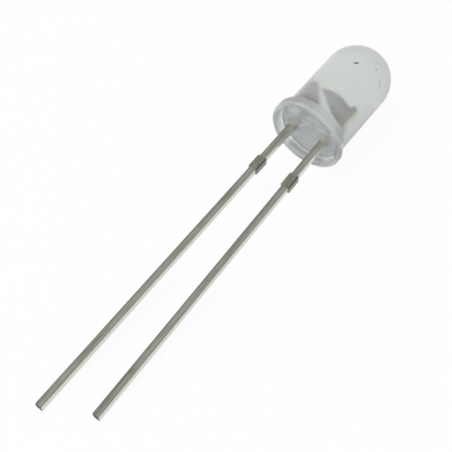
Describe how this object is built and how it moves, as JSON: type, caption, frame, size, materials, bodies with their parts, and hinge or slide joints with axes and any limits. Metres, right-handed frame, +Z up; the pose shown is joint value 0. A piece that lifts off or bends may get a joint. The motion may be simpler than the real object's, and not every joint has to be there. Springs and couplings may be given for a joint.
{
  "type": "through hole led",
  "caption": "Round through-hole light emitting diode with a milky dome lens, a flange with a polarity flat and two straight square leads, lying at rest.",
  "frame": {"origin": "on the floor below the middle of the lying diode's box", "axes": "+X along the diode towards the dome, level with the floor; +Y towards the anode lead; +Z up"},
  "size_m": [0.034, 0.0054, 0.006],
  "materials": {
    "milky_resin": "smooth cast epoxy resin with a milky diffuser, slightly see-through near the board face",
    "plated_lead": "tin-plated mild steel, satin, duller where the tie bar was cut",
    "chip": "satin semiconductor crystal",
    "silver_adhesive": "matte silver-filled adhesive",
    "gold_wire": "bright fine gold wire"
  },
  "bodies": {
    "root": {"lens_body": "milky_resin", "anode_lead": "plated_lead", "cathode_lead": "plated_lead", "led_chip": "chip", "die_attach": "silver_adhesive", "bond_wire": "gold_wire"}
  },
  "joints": []
}
